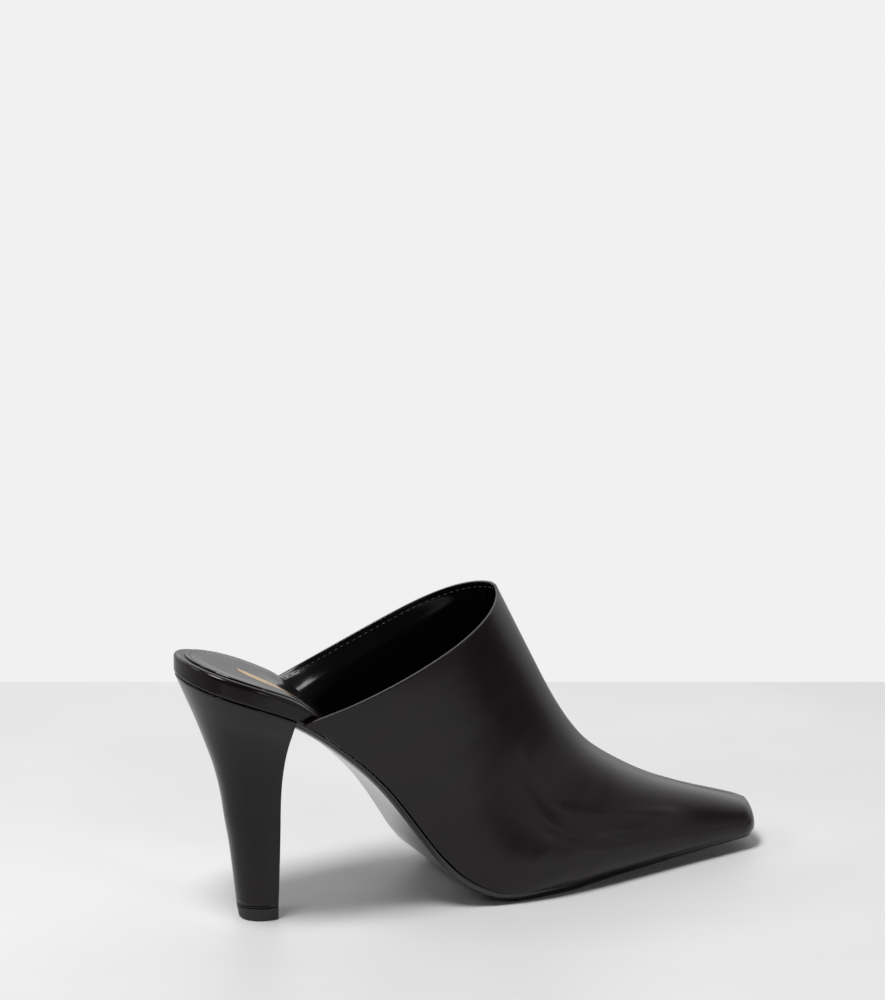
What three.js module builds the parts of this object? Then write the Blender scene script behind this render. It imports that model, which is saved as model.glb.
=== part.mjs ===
// High-heeled mule with a closed snipped toe and an open back: a right shoe.
// Millimetres, +X towards the toe, +Y towards the inner (medial) side of the foot, +Z up.
// Sections are worked out with x counted from the rear of the seat, then the whole is centred.
import * as THREE from "three";

// Overall sizes: the seat and the toe are measured at the tread face of the sole
const SHOE_LENGTH = 237.8;
const SEAT_RISE = 94.9;
const TOE_SPRING = 4.4;
const THROAT_HEIGHT = 118;
const FIT_GAP = 0.3;
const WALL = 1.8;
const UPPER_ROOM = 0.5;

// Seat and toe ends of the foot outline, seen from above
const SEAT_HALF_WIDTH = 26;
const SEAT_ROUND = 28;
const SEAT_POWER = 2.15;
const TOE_ROUND = 8;
const TOE_POWER = 2.5;
// Half width of the short flat that closes the round end of a slab
const END_FLAT = 2;

// Insole board, wrapped, with its edge showing as a band round the seat
const BOARD_TOE_ROOM = 1.6;
const BOARD_TOP_ROUND = 1.2;
const BOARD_BOTTOM_ROUND = 0.4;
const BOARD_CUP = 1.0;

// Lining sock that lies on the board, further in round the seat than in front of it
const SOCK_THICKNESS = 0.9;
const SOCK_SEAT_INSET = 4;
const SOCK_INSET = 2.2;
const SOCK_TOE_ROOM = 2.5;

// Outsole
const SOLE_DEPTH = 3.4;
const OUTSOLE_SIDE_STEPS = 3;

// Heel and its top piece
const HEEL_BREAST_X = 36.3;
const HEEL_CORNER = 1.6;
const HEEL_TOP_INSET = 0.1;
const TIP_HEIGHT = 5;
const TIP_TAPER = 1;
const TIP_SIDE_TAPER = 0.35;

// Upper: seam groove down the centre front
const SEAM_DEPTH = 0.5;
const SEAM_HALF_WIDTH = 0.9;

// Foot line: rise is the share of the seat rise and spring the share of the toe spring that lift
// the tread face, lateral and medial are the half widths to each side of the x axis, and board is
// the depth of the board. The tread rests flat on the ground under the ball.
const FOOT = [
  { x: 0, rise: 1, spring: 0, lateral: SEAT_HALF_WIDTH, medial: SEAT_HALF_WIDTH, board: 7.5 },
  { x: 6, rise: 0.9768, spring: 0, lateral: SEAT_HALF_WIDTH, medial: SEAT_HALF_WIDTH, board: 7.5 },
  { x: 16, rise: 0.9389, spring: 0, lateral: SEAT_HALF_WIDTH, medial: SEAT_HALF_WIDTH, board: 7.5 },
  { x: 26, rise: 0.8967, spring: 0, lateral: SEAT_HALF_WIDTH, medial: SEAT_HALF_WIDTH, board: 7.5 },
  { x: 35, rise: 0.8525, spring: 0, lateral: SEAT_HALF_WIDTH, medial: SEAT_HALF_WIDTH, board: 7.4 },
  { x: 43, rise: 0.7998, spring: 0, lateral: 25.7, medial: 25.0, board: 7.0 },
  { x: 51, rise: 0.7366, spring: 0, lateral: 25.0, medial: 22.8, board: 6.1 },
  { x: 59, rise: 0.6649, spring: 0, lateral: 24.2, medial: 20.6, board: 5.0 },
  { x: 67, rise: 0.5869, spring: 0, lateral: 23.4, medial: 19.2, board: 4.0 },
  { x: 75, rise: 0.4963, spring: 0, lateral: 22.7, medial: 18.9, board: 3.2 },
  { x: 82, rise: 0.3994, spring: 0, lateral: 22.6, medial: 19.9, board: 2.8 },
  { x: 89, rise: 0.2919, spring: 0, lateral: 23.2, medial: 22.0, board: 2.6 },
  { x: 96, rise: 0.1886, spring: 0, lateral: 24.6, medial: 25.2, board: 2.4 },
  { x: 104, rise: 0.098, spring: 0, lateral: 26.4, medial: 29.2, board: 2.4 },
  { x: 112, rise: 0.0432, spring: 0, lateral: 28.0, medial: 32.6, board: 2.4 },
  { x: 119, rise: 0.0137, spring: 0, lateral: 28.9, medial: 34.7, board: 2.4 },
  { x: 127, rise: 0, spring: 0, lateral: 29.1, medial: 36.0, board: 2.4 },
  { x: 146, rise: 0, spring: 0, lateral: 27.3, medial: 34.8, board: 2.4 },
  { x: 166, rise: 0, spring: 0.2727, lateral: 23.9, medial: 29.2, board: 2.4 },
  { x: 182, rise: 0, spring: 0.4773, lateral: 20.9, medial: 24.2, board: 2.4 },
  { x: 198, rise: 0, spring: 0.6591, lateral: 18.0, medial: 19.6, board: 2.4 },
  { x: 215, rise: 0, spring: 0.8182, lateral: 15.1, medial: 15.4, board: 2.4 },
  { x: 227, rise: 0, spring: 0.9091, lateral: 13.1, medial: 13.0, board: 2.4 },
  { x: 238, rise: 0, spring: 1, lateral: 11.6, medial: 11.4, board: 2.4 },
];

// Outsole: how far its top edge stays inside the foot outline, and how far its tread edge
// stays inside that top edge.
const OUTSOLE = [
  { x: 35, inset: 4.0, bevel: 3.5 },
  { x: 50, inset: 2.6, bevel: 4.5 },
  { x: 68, inset: 1.6, bevel: 5.0 },
  { x: 84, inset: 0.9, bevel: 4.2 },
  { x: 98, inset: 0.2, bevel: 2.6 },
  { x: 120, inset: -0.6, bevel: 1.2 },
  { x: 148, inset: -0.9, bevel: 0.9 },
  { x: 198, inset: -0.9, bevel: 0.8 },
  { x: 238, inset: -0.9, bevel: 0.7 },
];

// Ridge of the upper along the centre front, from the throat to the toe: height is the share of
// the throat height.
const RIDGE = [
  { x: 129.2, height: 1 },
  { x: 133.6, height: 0.9254 },
  { x: 139.0, height: 0.8339 },
  { x: 144.4, height: 0.7424 },
  { x: 149.7, height: 0.6525 },
  { x: 155.1, height: 0.5695 },
  { x: 160.7, height: 0.4966 },
  { x: 167.0, height: 0.4322 },
  { x: 175.0, height: 0.3763 },
  { x: 187.0, height: 0.3102 },
  { x: 197.0, height: 0.2644 },
  { x: 207.0, height: 0.228 },
  { x: 217.0, height: 0.1958 },
  { x: 227.0, height: 0.1661 },
  { x: 236.7, height: 0.1356 },
];

// Rows of the upper: each leaves the foot line at foot, climbs over the ridge at ridge.
// lead sets its medial foot further forward, rise and round shape the arch, bulge swells the
// sides, sag drops the row between its ends.
const UPPER = [
  { foot: 37.6, lead: 5.0, ridge: 129.2, rise: 6.0, round: 1.6, bulge: 2.4, sag: 2.7 },
  { foot: 50.0, lead: 3.2, ridge: 134.5, rise: 5.0, round: 1.65, bulge: 2.6, sag: 2.2 },
  { foot: 64.0, lead: 1.6, ridge: 141.0, rise: 4.1, round: 1.7, bulge: 2.8, sag: 1.4 },
  { foot: 82.0, lead: 0.4, ridge: 150.5, rise: 3.2, round: 1.8, bulge: 3.0, sag: 0.6 },
  { foot: 102.0, lead: 0, ridge: 162.5, rise: 2.6, round: 1.9, bulge: 3.0, sag: 0 },
  { foot: 128.0, lead: 0, ridge: 176.5, rise: 2.3, round: 1.95, bulge: 2.8, sag: 0 },
  { foot: 158.0, lead: 0, ridge: 192.5, rise: 2.2, round: 2.0, bulge: 2.3, sag: 0 },
  { foot: 188.0, lead: 0, ridge: 209.0, rise: 2.25, round: 2.05, bulge: 1.8, sag: 0 },
  { foot: 213.0, lead: 0, ridge: 222.5, rise: 2.5, round: 2.2, bulge: 1.4, sag: 0 },
  { foot: 230.0, lead: 0, ridge: 232.2, rise: 2.9, round: 2.3, bulge: 1.0, sag: 0 },
  { foot: 238.0, lead: 0, ridge: 236.5, rise: 3.2, round: 2.4, bulge: 0.6, sag: 0 },
];

// Heel sections by share of the height above the top piece: half width and length from the breast.
const HEEL = [
  { share: 0.0, half: 8.4, length: 13.5 },
  { share: 0.18, half: 9.5, length: 15.2 },
  { share: 0.29, half: 10.1, length: 16.4 },
  { share: 0.4, half: 10.6, length: 18.1 },
  { share: 0.51, half: 11.0, length: 19.6 },
  { share: 0.62, half: 12.0, length: 21.9 },
  { share: 0.73, half: 14.4, length: 25.4 },
  { share: 0.84, half: 18.2, length: 29.4 },
  { share: 0.93, half: 22.6, length: 33.2 },
  { share: 1.0, half: SEAT_HALF_WIDTH, length: HEEL_BREAST_X - HEEL_TOP_INSET },
];

// Mesh counts
const STATION_STEP = 5.5;
const SEAT_ARC_STEPS = 9;
const TOE_ARC_STEPS = 6;
const SIDE_COLUMNS = 18;
const HEEL_LEVELS = 22;
const HEEL_ARC_STEPS = 20;
const ACROSS = [-1, -0.5, 0, 0.5, 1];
const SECTION_SAMPLES = 160;
const WELD = 1e-4;

// Share of a rounded corner's radius that its middle point lies in from the sharp corner,
// and the factor that makes the swell of a row peak at exactly its bulge.
const CORNER_MIDDLE = 1 - Math.SQRT1_2;
const SWELL_PEAK = 27 / 4;

// Curves and the foot line

// Smooth curve through a column of a table that never overshoots its rows.
function column(rows, key, by = "x") {
  const n = rows.length;
  const xs = rows.map((row) => row[by]);
  const ys = rows.map((row) => row[key]);
  const chord = xs.slice(1).map((x, i) => (ys[i + 1] - ys[i]) / (x - xs[i]));
  const slope = xs.map((_, i) => {
    if (i === 0) return chord[0];
    if (i === n - 1) return chord[n - 2];
    const product = chord[i - 1] * chord[i];
    return product <= 0 ? 0 : (2 * product) / (chord[i - 1] + chord[i]);
  });
  return (x) => {
    const at = Math.min(Math.max(x, xs[0]), xs[n - 1]);
    let i = 0;
    while (i < n - 2 && at > xs[i + 1]) i += 1;
    const span = xs[i + 1] - xs[i];
    const t = (at - xs[i]) / span;
    const t2 = t * t;
    const t3 = t2 * t;
    const start = (2 * t3 - 3 * t2 + 1) * ys[i] + (t3 - 2 * t2 + t) * span * slope[i];
    const end = (3 * t2 - 2 * t3) * ys[i + 1] + (t3 - t2) * span * slope[i + 1];
    return start + end;
  };
}

const mix = (a, b, t) => a + (b - a) * t;
const clamp01 = (t) => Math.min(Math.max(t, 0), 1);
const superRound = (t, power) => Math.pow(Math.max(1 - Math.pow(clamp01(t), power), 0), 1 / power);

const rise = column(FOOT, "rise");
const spring = column(FOOT, "spring");
const tread = (x) => SEAT_RISE * rise(x) + TOE_SPRING * spring(x);
// Height of the board's lower face, which is also the foot of the upper.
const level = (x) => tread(x) + SOLE_DEPTH + FIT_GAP;
const boardDepth = column(FOOT, "board");
const halfWidth = { lateral: column(FOOT, "lateral"), medial: column(FOOT, "medial") };

// Upright clearance at x that leaves the fit gap square to the sloping foot line.
function fitDrop(x) {
  const reach = STATION_STEP / 2;
  const slope = (level(x + reach) - level(x - reach)) / (2 * reach);
  return FIT_GAP * Math.hypot(1, slope);
}

// Signed y of the foot outline at x; grow moves it outwards, toe is where the outline ends.
function footEdge(x, side, grow, toe) {
  const sign = side === "lateral" ? -1 : 1;
  const seatRound = SEAT_ROUND + grow;
  const toeRound = TOE_ROUND + grow;
  const seat = superRound((SEAT_ROUND - x) / seatRound, SEAT_POWER);
  const front = superRound((x - toe + toeRound) / toeRound, TOE_POWER);
  return sign * (halfWidth[side](x) + grow) * seat * front;
}

// Stations from one x to another: whole multiples of the step, with an arc of them at a round end.
function stations(from, to, rearRound, frontRound) {
  const rearReach = rearRound ? SEAT_ROUND : 0;
  const frontReach = frontRound ? TOE_ROUND : 0;
  const list = [];
  const arc = (steps, place) => {
    for (let i = 0; i < steps; i += 1) {
      list.push(place(1 - Math.cos((i / steps) * Math.PI * 0.5)));
    }
  };
  if (rearRound) arc(SEAT_ARC_STEPS, (share) => from + rearReach * share);
  list.push(from + rearReach);
  const least = STATION_STEP * 0.3;
  for (let k = 0; k * STATION_STEP < to - frontReach - least; k += 1) {
    const x = k * STATION_STEP;
    if (x > from + rearReach + least) list.push(x);
  }
  list.push(to - frontReach);
  const tail = list.length;
  if (frontRound) arc(TOE_ARC_STEPS, (share) => to - frontReach * share);
  return [...list.slice(0, tail), ...list.slice(tail).reverse()];
}

// Meshes

// Closed mesh from triangles given as triples of points: welded, slivers left out, facing out.
function closedGeometry(triangles) {
  const index = new Map();
  const positions = [];
  const faces = [];
  const idOf = (p) => {
    const key = [p.x, p.y, p.z].map((v) => Math.round(v / WELD)).join(",");
    if (!index.has(key)) {
      index.set(key, positions.length / 3);
      positions.push(p.x, p.y, p.z);
    }
    return index.get(key);
  };
  for (const triangle of triangles) {
    const [a, b, c] = triangle.map(idOf);
    if (a !== b && b !== c && c !== a) faces.push([a, b, c]);
  }
  const at = (i) => new THREE.Vector3().fromArray(positions, i * 3);
  const volume = faces.reduce((sum, [a, b, c]) => sum + at(a).dot(at(b).cross(at(c))), 0);
  const geometry = new THREE.BufferGeometry();
  geometry.setAttribute("position", new THREE.Float32BufferAttribute(positions, 3));
  geometry.setIndex(faces.flatMap(([a, b, c]) => (volume < 0 ? [a, c, b] : [a, b, c])));
  geometry.computeVertexNormals();
  return geometry;
}

function quad(a, b, c, d) {
  return [[a, b, c], [a, c, d]];
}

// Triangles of a grid of points: rows joined to the next row, column to column.
function gridTriangles(grid) {
  const out = [];
  for (let i = 0; i < grid.length - 1; i += 1) {
    for (let j = 0; j < grid[i].length - 1; j += 1) {
      out.push(...quad(grid[i][j], grid[i][j + 1], grid[i + 1][j + 1], grid[i + 1][j]));
    }
  }
  return out;
}

// Fan that closes a loop round its middle.
function fan(loop) {
  const middle = new THREE.Vector3();
  loop.forEach((p) => middle.addScaledVector(p, 1 / loop.length));
  return loop.map((p, i) => [middle, p, loop[(i + 1) % loop.length]]);
}

// Solid through a run of closed loops with both ends closed.
function loft(loops) {
  const closed = loops.map((loop) => [...loop, loop[0]]);
  const first = fan(loops[0]).map(([a, b, c]) => [a, c, b]);
  return closedGeometry([...first, ...gridTriangles(closed), ...fan(loops[loops.length - 1])]);
}

// Section across the foot: floor from the lateral to the medial edge, then the sides and the top.
// The floor and the top each rise by their cup towards the edges.
function slabSection(x, edges, profile, floor, top) {
  const middle = (edges.lateral + edges.medial) / 2;
  const inside = (side, inset) => {
    const reach = edges[side] - middle;
    return middle + Math.sign(reach) * Math.max(Math.abs(reach) - inset, 0);
  };
  const across = (share, inset) => {
    const side = share < 0 ? "lateral" : "medial";
    return mix(middle, inside(side, inset), Math.abs(share));
  };
  const first = profile[0];
  const last = profile[profile.length - 1];
  const floorLine = ACROSS.map((share) => {
    return new THREE.Vector3(x, across(share, first.inset), floor.z + floor.cup * share * share);
  });
  const topLine = ACROSS.map((share) => {
    return new THREE.Vector3(x, across(share, last.inset), top.z + top.cup * share * share);
  });
  const sideLine = (side) => profile.slice(1, -1).map((step) => {
    const z = mix(floor.z + floor.cup, top.z + top.cup, step.share) + step.drop;
    return new THREE.Vector3(x, inside(side, step.inset), z);
  });
  return [
    ...floorLine,
    ...sideLine("medial"),
    ...topLine.reverse(),
    ...sideLine("lateral").reverse(),
  ];
}

// Insole board and sock

const UPPER_GROW = UPPER_ROOM + WALL;
const boardToe = SHOE_LENGTH - UPPER_GROW - BOARD_TOE_ROOM;

// Both edges of the foot outline at x, never closer together than the end flat.
function footEdges(x, grow, toe) {
  const reach = (side) => Math.max(Math.abs(footEdge(x, side, grow, toe)), END_FLAT);
  return { lateral: -reach("lateral"), medial: reach("medial") };
}

// Dish of the board's top at x: how far its middle rises, and its edges above the middle.
function dish(x) {
  const rear = clamp01(1 - x / SEAT_ROUND);
  const front = clamp01(1 - (boardToe - x) / TOE_ROUND);
  const middle = BOARD_CUP * Math.max(rear, front) ** 2;
  return { middle, edge: BOARD_CUP - middle };
}

function buildBoard() {
  const profile = [
    { inset: BOARD_BOTTOM_ROUND, share: 0, drop: 0 },
    { inset: 0, share: 0, drop: BOARD_BOTTOM_ROUND },
    { inset: 0, share: 1, drop: -BOARD_TOP_ROUND },
    { inset: BOARD_TOP_ROUND * CORNER_MIDDLE, share: 1, drop: -BOARD_TOP_ROUND * CORNER_MIDDLE },
    { inset: BOARD_TOP_ROUND, share: 1, drop: 0 },
  ];
  const rows = stations(0, boardToe, true, true).map((x) => {
    const cup = dish(x);
    const floor = { z: level(x), cup: 0 };
    const top = { z: level(x) + boardDepth(x) + cup.middle, cup: cup.edge };
    return slabSection(x, footEdges(x, 0, boardToe), profile, floor, top);
  });
  return loft(rows);
}

function buildSock() {
  const toe = boardToe - SOCK_TOE_ROOM;
  const inset = (x) => mix(SOCK_SEAT_INSET, SOCK_INSET, clamp01(x / SEAT_ROUND - 1));
  const profile = [
    { inset: 0, share: 0, drop: 0 },
    { inset: SOCK_THICKNESS * 0.5, share: 1, drop: 0 },
  ];
  const rows = stations(SOCK_SEAT_INSET, toe, true, true).map((x) => {
    const edges = footEdges(x, -inset(x), toe);
    const board = footEdges(x, 0, boardToe);
    const spread = (edges.medial - edges.lateral) / (board.medial - board.lateral);
    const cup = dish(x).edge * spread * spread;
    const seat = level(x) + boardDepth(x) + dish(x).middle + fitDrop(x);
    return slabSection(x, edges, profile, { z: seat, cup }, { z: seat + SOCK_THICKNESS, cup });
  });
  return loft(rows);
}

// Outsole

function buildOutsole() {
  const inset = column(OUTSOLE, "inset");
  const bevel = column(OUTSOLE, "bevel");
  const start = HEEL_BREAST_X + FIT_GAP;
  const toe = SHOE_LENGTH - FIT_GAP;
  const rows = stations(start, toe, false, true).map((x) => {
    const profile = [{ inset: bevel(x), share: 0, drop: 0 }];
    for (let i = 1; i < OUTSOLE_SIDE_STEPS; i += 1) {
      const t = i / OUTSOLE_SIDE_STEPS;
      profile.push({ inset: bevel(x) * Math.pow(1 - t, 2), share: t, drop: 0 });
    }
    profile.push({ inset: 0, share: 1, drop: 0 });
    const floor = { z: tread(x), cup: 0 };
    const top = { z: level(x) - fitDrop(x), cup: 0 };
    return slabSection(x, footEdges(x, -inset(x), toe), profile, floor, top);
  });
  return loft(rows);
}

// Heel

// Outline of the heel at one height: breast corners, then round the back.
function heelOutline(half, length, corner) {
  const straight = length * (1 - SEAT_ROUND / HEEL_BREAST_X);
  const centre = HEEL_BREAST_X - straight;
  const reach = length - straight;
  const points = [];
  points.push({ x: HEEL_BREAST_X, y: -half + corner });
  points.push({ x: HEEL_BREAST_X - corner * CORNER_MIDDLE, y: -half + corner * CORNER_MIDDLE });
  points.push({ x: HEEL_BREAST_X - corner, y: -half });
  for (let i = 0; i <= HEEL_ARC_STEPS; i += 1) {
    const angle = -Math.PI / 2 + (Math.PI * i) / HEEL_ARC_STEPS;
    const cos = Math.pow(Math.max(Math.cos(angle), 0), 2 / SEAT_POWER);
    const sin = Math.sign(angle) * Math.pow(Math.abs(Math.sin(angle)), 2 / SEAT_POWER);
    points.push({ x: centre - reach * cos, y: half * sin });
  }
  points.push({ x: HEEL_BREAST_X - corner, y: half });
  points.push({ x: HEEL_BREAST_X - corner * CORNER_MIDDLE, y: half - corner * CORNER_MIDDLE });
  points.push({ x: HEEL_BREAST_X, y: half - corner });
  return points;
}

function buildHeel() {
  const half = column(HEEL, "half", "share");
  const length = column(HEEL, "length", "share");
  const foot = TIP_HEIGHT + FIT_GAP;
  const rows = [];
  for (let i = 0; i <= HEEL_LEVELS; i += 1) {
    const share = i / HEEL_LEVELS;
    const outline = heelOutline(half(share), length(share), HEEL_CORNER);
    rows.push(outline.map((p) => {
      const seat = level(p.x) - fitDrop(p.x);
      return new THREE.Vector3(p.x, p.y, mix(foot, seat, share));
    }));
  }
  return loft(rows);
}

function buildTip() {
  const { half, length } = HEEL[0];
  const rows = [0, 0.5, 1].map((share) => {
    const taper = TIP_TAPER * (1 - share);
    const outline = heelOutline(half - taper * TIP_SIDE_TAPER, length - taper, HEEL_CORNER);
    return outline.map((p) => new THREE.Vector3(p.x, p.y, TIP_HEIGHT * share));
  });
  return loft(rows);
}

// Upper

const ridgeShare = column(RIDGE, "height");
const ridgeHeight = (x) => THROAT_HEIGHT * ridgeShare(x);
const rowShape = {
  lead: column(UPPER, "lead", "foot"),
  ridge: column(UPPER, "ridge", "foot"),
  rise: column(UPPER, "rise", "foot"),
  round: column(UPPER, "round", "foot"),
  bulge: column(UPPER, "bulge", "foot"),
  sag: column(UPPER, "sag", "foot"),
};

// Half of one row of the upper, from the foot line up to the ridge, evenly spaced along it.
function halfRow(foot, side) {
  const toe = SHOE_LENGTH;
  const start = side === "medial" ? foot + rowShape.lead(foot) : foot;
  const edge = footEdge(start, side, UPPER_GROW, toe);
  const sign = side === "lateral" ? -1 : 1;
  const fill = Math.abs(edge) / (halfWidth[side](start) + UPPER_GROW);
  const top = { x: rowShape.ridge(foot), z: ridgeHeight(rowShape.ridge(foot)) };
  const base = { x: start, z: level(start) };
  const samples = [];
  for (let i = 0; i <= SECTION_SAMPLES; i += 1) {
    const angle = (Math.PI / 2) * (i / SECTION_SAMPLES);
    const climb = Math.pow(Math.sin(angle), 2 / rowShape.rise(foot));
    const width = Math.pow(Math.max(Math.cos(angle), 0), 2 / rowShape.round(foot));
    const swell = rowShape.bulge(foot) * fill * SWELL_PEAK * climb * Math.pow(1 - climb, 2);
    const z = mix(base.z, top.z, climb) - rowShape.sag(foot) * 4 * climb * (1 - climb);
    samples.push(new THREE.Vector3(mix(base.x, top.x, climb), edge * width + sign * swell, z));
  }
  return evenly(samples, SIDE_COLUMNS);
}

// Points evenly spaced along a run of samples, with the last gap kept for the seam.
function evenly(samples, count) {
  const run = [0];
  for (let i = 1; i < samples.length; i += 1) {
    run.push(run[i - 1] + samples[i].distanceTo(samples[i - 1]));
  }
  const total = run[run.length - 1];
  const seam = Math.min(SEAM_HALF_WIDTH, total / count);
  const out = [];
  let k = 0;
  for (let i = 0; i < count; i += 1) {
    const goal = (total - seam) * (i / (count - 1));
    while (k < run.length - 2 && run[k + 1] < goal) k += 1;
    const t = (goal - run[k]) / Math.max(run[k + 1] - run[k], 1e-9);
    out.push(samples[k].clone().lerp(samples[k + 1], clamp01(t)));
  }
  out.push(samples[samples.length - 1].clone());
  return out;
}

// Outward normals of a grid whose first row is folded shut.
function gridNormals(grid) {
  const sums = new Map();
  const keyOf = (p) => [p.x, p.y, p.z].map((v) => Math.round(v / WELD)).join(",");
  for (const [a, b, c] of gridTriangles(grid)) {
    const normal = b.clone().sub(a).cross(c.clone().sub(a));
    for (const p of [a, b, c]) {
      const key = keyOf(p);
      if (!sums.has(key)) sums.set(key, new THREE.Vector3());
      sums.get(key).add(normal);
    }
  }
  return grid.map((row) => row.map((p) => sums.get(keyOf(p)).clone().normalize()));
}

function buildUpper() {
  const start = UPPER[0].foot;
  const feet = stations(start, SHOE_LENGTH, false, true).reverse();
  const outer = feet.map((foot) => {
    const lateral = halfRow(foot, "lateral");
    const medial = halfRow(foot, "medial").reverse();
    return [...lateral, ...medial.slice(1)];
  });
  let normals = gridNormals(outer);
  const middle = SIDE_COLUMNS;
  if (normals[outer.length - 1][middle].x < 0) {
    normals = normals.map((row) => row.map((n) => n.negate()));
  }
  const last = 2 * SIDE_COLUMNS;
  const inner = outer.map((row, i) => row.map((p, j) => {
    const side = j === 0 ? "lateral" : "medial";
    if (j > 0 && j < last) return p.clone().addScaledVector(normals[i][j], -WALL);
    const past = Math.max(p.x - (SHOE_LENGTH - TOE_ROUND), 0);
    const foot = p.x - past * (WALL / TOE_ROUND);
    return new THREE.Vector3(foot, footEdge(foot, side, UPPER_ROOM, SHOE_LENGTH - WALL), p.z);
  }));
  outer.forEach((row, i) => {
    row[middle].addScaledVector(normals[i][middle], -SEAM_DEPTH);
  });
  const triangles = [
    ...gridTriangles(outer),
    ...gridTriangles(inner).map(([a, b, c]) => [a, c, b]),
  ];
  const rim = [
    ...outer.map((row, i) => [row[0], inner[i][0]]),
    ...outer[outer.length - 1].map((p, j) => [p, inner[outer.length - 1][j]]).slice(1, -1),
    ...outer.map((row, i) => [row[last], inner[i][last]]).reverse(),
  ];
  for (let i = 0; i < rim.length - 1; i += 1) {
    triangles.push(...quad(rim[i][0], rim[i + 1][0], rim[i + 1][1], rim[i][1]));
  }
  return closedGeometry(triangles);
}

// Assembly

const leather = new THREE.MeshStandardMaterial({ color: 0x17151a, roughness: 0.28, metalness: 0 });
const lining = new THREE.MeshStandardMaterial({ color: 0x141318, roughness: 0.35, metalness: 0 });
const soleLeather = new THREE.MeshStandardMaterial({ color: 0x0f0e11, roughness: 0.2, metalness: 0 });
const rubber = new THREE.MeshStandardMaterial({ color: 0x1a1a1b, roughness: 0.7, metalness: 0 });

const shoe = new THREE.Group();
shoe.name = "mule_shoe";
const pieces = [
  ["upper", buildUpper(), leather],
  ["insole_board", buildBoard(), leather],
  ["sock", buildSock(), lining],
  ["outsole", buildOutsole(), soleLeather],
  ["heel", buildHeel(), leather],
  ["heel_tip", buildTip(), rubber],
];
const bounds = new THREE.Box3();
pieces.forEach(([, geometry]) => {
  geometry.computeBoundingBox();
  bounds.union(geometry.boundingBox);
});
const centre = bounds.getCenter(new THREE.Vector3());
pieces.forEach(([name, geometry, material]) => {
  geometry.translate(-centre.x, -centre.y, -bounds.min.z);
  const mesh = new THREE.Mesh(geometry, material);
  mesh.name = name;
  shoe.add(mesh);
});

export default shoe;
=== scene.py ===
"""High-heeled black mule: the fine surfaces, finishes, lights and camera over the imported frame."""

import logging
import math
from bisect import bisect_right
from collections.abc import Callable, Sequence
from dataclasses import dataclass, field
from enum import Enum
from functools import cache

import bmesh
import bpy
from mathutils import Matrix, Vector
from mathutils.kdtree import KDTree


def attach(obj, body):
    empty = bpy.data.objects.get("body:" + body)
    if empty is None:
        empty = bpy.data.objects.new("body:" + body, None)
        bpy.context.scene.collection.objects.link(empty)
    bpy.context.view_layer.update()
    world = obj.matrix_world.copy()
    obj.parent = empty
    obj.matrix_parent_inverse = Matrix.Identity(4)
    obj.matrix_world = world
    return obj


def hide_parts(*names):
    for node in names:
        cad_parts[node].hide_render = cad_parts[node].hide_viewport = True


LOG = logging.getLogger("mule")
MM = 0.001

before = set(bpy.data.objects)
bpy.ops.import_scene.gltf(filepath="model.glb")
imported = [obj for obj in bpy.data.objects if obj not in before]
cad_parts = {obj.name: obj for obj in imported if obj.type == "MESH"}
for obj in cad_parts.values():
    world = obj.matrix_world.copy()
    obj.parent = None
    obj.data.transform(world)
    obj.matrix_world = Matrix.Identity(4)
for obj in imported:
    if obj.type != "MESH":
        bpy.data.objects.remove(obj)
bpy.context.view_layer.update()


# Curves


def gap_at(run: Sequence[float], value: float) -> int:
    """Number of the gap of a rising run that holds a value, or of the gap nearest to it."""
    return min(max(bisect_right(run, value) - 1, 0), len(run) - 2)


@dataclass(frozen=True)
class Table:
    """A short table with named columns, one row for each section."""

    names: tuple[str, ...]
    rows: tuple[tuple[float, ...], ...]

    def column(self, name: str, by: str = "x") -> Callable[[float], float]:
        """Smooth curve through one column that never overshoots its rows.

        Args:
            name: The column that gives the value.
            by: The column that the value depends on.

        Returns:
            A function from the by value to the column's value.
        """
        ys = [row[self.names.index(name)] for row in self.rows]
        xs = [row[self.names.index(by)] for row in self.rows]
        chord = [(y1 - y0) / (x1 - x0) for x0, x1, y0, y1 in zip(xs, xs[1:], ys, ys[1:])]
        slope = [chord[0]]
        for before, after in zip(chord, chord[1:]):
            product = before * after
            slope.append(0.0 if product <= 0 else 2 * product / (before + after))
        slope.append(chord[-1])

        @cache
        def at(value: float) -> float:
            """Value of the curve, held level past its ends.

            Args:
                value: Where the curve is read.

            Returns:
                The column's value there.
            """
            x = min(max(value, xs[0]), xs[-1])
            i = gap_at(xs, x)
            span = xs[i + 1] - xs[i]
            t = (x - xs[i]) / span
            t2, t3 = t * t, t * t * t
            start = (2 * t3 - 3 * t2 + 1) * ys[i] + (t3 - 2 * t2 + t) * span * slope[i]
            return start + (3 * t2 - 2 * t3) * ys[i + 1] + (t3 - t2) * span * slope[i + 1]

        return at


def mix(a: float, b: float, t: float) -> float:
    """Value a share t of the way from a to b."""
    return a + (b - a) * t


def clamp01(t: float) -> float:
    """t held between 0 and 1."""
    return min(max(t, 0.0), 1.0)


def smooth(t: float) -> float:
    """Smooth step of t held between 0 and 1."""
    t = clamp01(t)
    return t * t * (3 - 2 * t)


def super_round(t: float, power: float) -> float:
    """Quarter of a superellipse: 1 at t 0, falling to 0 at t 1."""
    return max(1 - clamp01(t) ** power, 0.0) ** (1 / power)


class Side(Enum):
    """The two sides of the foot, with the sign of their y."""

    LATERAL = -1
    MEDIAL = 1

    @classmethod
    def of(cls, y: float) -> "Side":
        """The side on which a y, or a share across, lies."""
        return cls.MEDIAL if y > 0 else cls.LATERAL


Point = tuple[float, float, float]


# Shared last shape


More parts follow.
